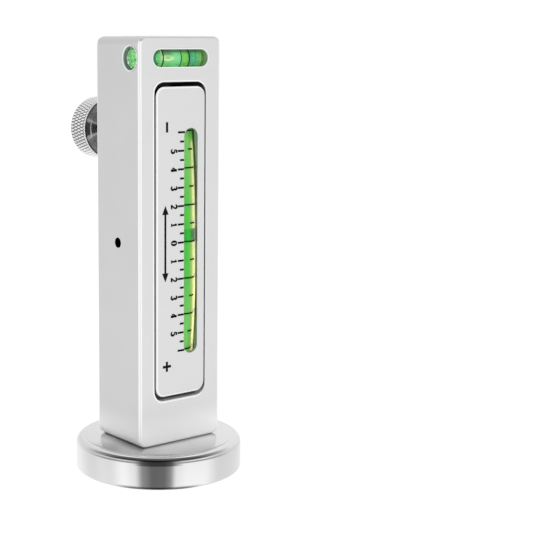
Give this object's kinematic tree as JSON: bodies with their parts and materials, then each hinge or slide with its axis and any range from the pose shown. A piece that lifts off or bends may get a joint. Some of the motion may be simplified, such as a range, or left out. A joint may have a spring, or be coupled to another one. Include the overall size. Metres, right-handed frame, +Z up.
{
  "type": "camber gauge",
  "caption": "Upright aluminium camber gauge on a round pot magnet, with a tilting scale and bubble vial, a cross vial and a knurled thumb screw at the back.",
  "frame": {"origin": "centre of the magnet's underside", "axes": "+Z up the body, the scale faces -Y, the knob stands out to +Y, +X to the right of someone reading the scale"},
  "size_m": [0.06, 0.0699, 0.1553],
  "materials": {
    "blasted_aluminium": "bead-blasted, clear anodised",
    "plate_aluminium": "fine matt, clear anodised, printed in black",
    "milled_aluminium": "milled",
    "plated_steel": "bright nickel plate",
    "turned_steel": "turned, with a diamond knurl",
    "hard_steel": "hardened and ground",
    "black_steel": "black oxide",
    "spring_steel": "drawn wire",
    "bronze": "sintered bronze",
    "ferrite": "sintered ferrite",
    "resin": "black potting resin",
    "clear_glass": "clear glass",
    "clear_acrylic": "clear green acrylic",
    "green_liquid": "bright green vial liquid",
    "white_plastic": "white moulded plastic",
    "soft_rubber": "soft rubber"
  },
  "bodies": {
    "housing": {"body": "blasted_aluminium", "cross_vial_barrel": "clear_acrylic", "cross_vial_liquid": "green_liquid", "cross_vial_plug": "white_plastic", "magnet_cup": "plated_steel", "magnet_ring": "ferrite", "magnet_pole": "plated_steel", "magnet_potting": "resin", "pivot_pin": "black_steel", "return_spring": "spring_steel"},
    "rocker": {"scale_plate": "plate_aluminium", "vial_carrier": "milled_aluminium", "camber_vial_tube": "clear_glass", "camber_vial_liquid": "green_liquid", "camber_vial_cap_upper": "white_plastic", "camber_vial_cap_lower": "white_plastic", "vial_cushion_upper": "soft_rubber", "vial_cushion_lower": "soft_rubber", "pivot_bush_left": "bronze", "pivot_bush_right": "bronze", "thrust_pad": "hard_steel", "plate_screw_1": "black_steel", "plate_screw_2": "black_steel", "plate_screw_3": "black_steel", "plate_screw_4": "black_steel"},
    "screw_foot": {"screw_tip": "hard_steel"},
    "thumb_screw": {"adjusting_screw": "turned_steel", "knob": "turned_steel", "knob_grub_screw": "black_steel"}
  },
  "joints": [
    {"name": "screw_travel", "type": "slide", "parent": "housing", "child": "screw_foot", "axis": [0, 1, 0], "range_m": [-0.00333, 0.00333]},
    {"name": "knob_turn", "type": "hinge", "parent": "screw_foot", "child": "thumb_screw", "pos_m": [0, 0.0305, 0.12155], "axis": [0, 1, 0], "range_deg": [-1200, 1200]},
    {"name": "rocker_tilt", "type": "hinge", "parent": "housing", "child": "rocker", "pos_m": [0, 0, 0.08355], "axis": [1, 0, 0], "range_deg": [-5.04, 5.04], "deforming": ["return_spring"]}
  ],
  "couplings": [
    {"joint": "knob_turn", "follows": "screw_travel", "rad_per_m": 6283.2},
    {"joint": "rocker_tilt", "follows": "screw_travel", "rad_per_m": -26.316}
  ]
}
